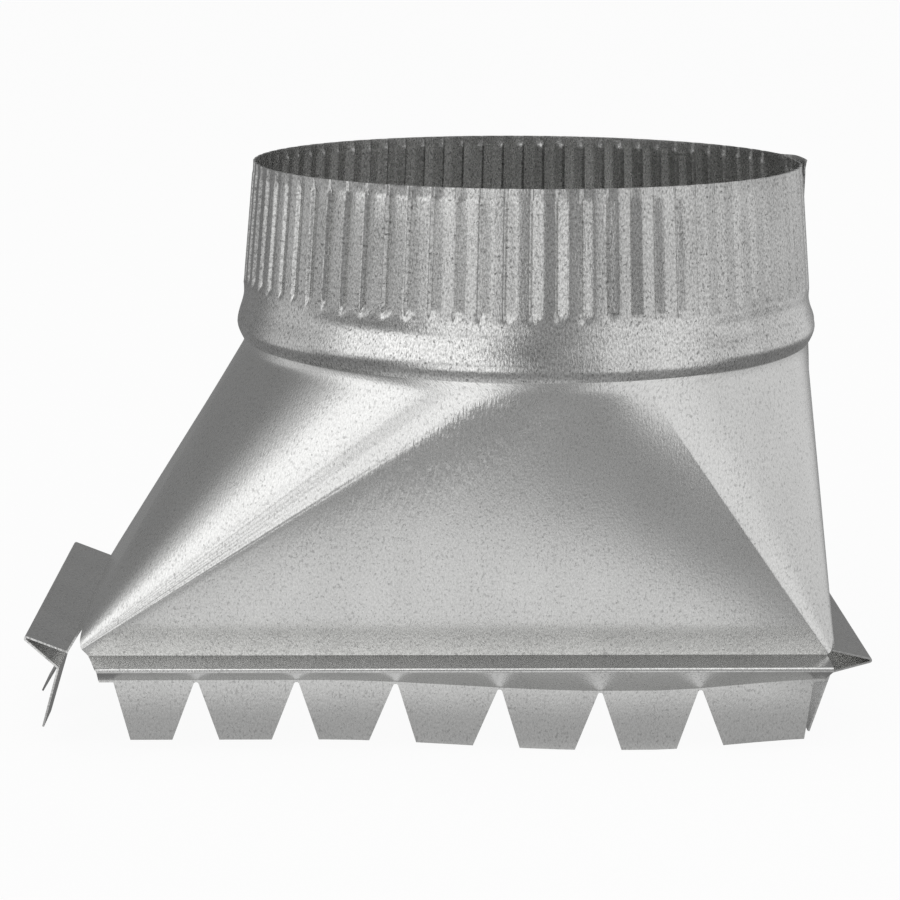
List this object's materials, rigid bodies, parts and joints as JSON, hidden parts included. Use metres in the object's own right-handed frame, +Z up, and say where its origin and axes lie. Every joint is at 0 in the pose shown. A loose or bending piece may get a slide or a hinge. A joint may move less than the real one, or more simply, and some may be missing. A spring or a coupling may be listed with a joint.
{
  "type": "side duct takeoff fitting",
  "caption": "Sheet metal duct takeoff: an oblong tabbed base with a folded stop bead rises to a crimped and beaded round collar.",
  "frame": {"origin": "middle of the oblong base, in the plane of the bend lines where the walls turn into the stop bead", "axes": "+Z up the round collar, +X towards the steep wall under the collar, -Y towards the front; the collar's axis is parallel to Z and 20.7 mm towards +X"},
  "size_m": [0.2205, 0.1562, 0.1472],
  "materials": {
    "body_sheet": "galvanised, fine spangle",
    "collar_sheet": "galvanised, fine spangle"
  },
  "bodies": {
    "root": {"transition_body": "body_sheet", "crimped_collar": "collar_sheet"}
  },
  "joints": []
}
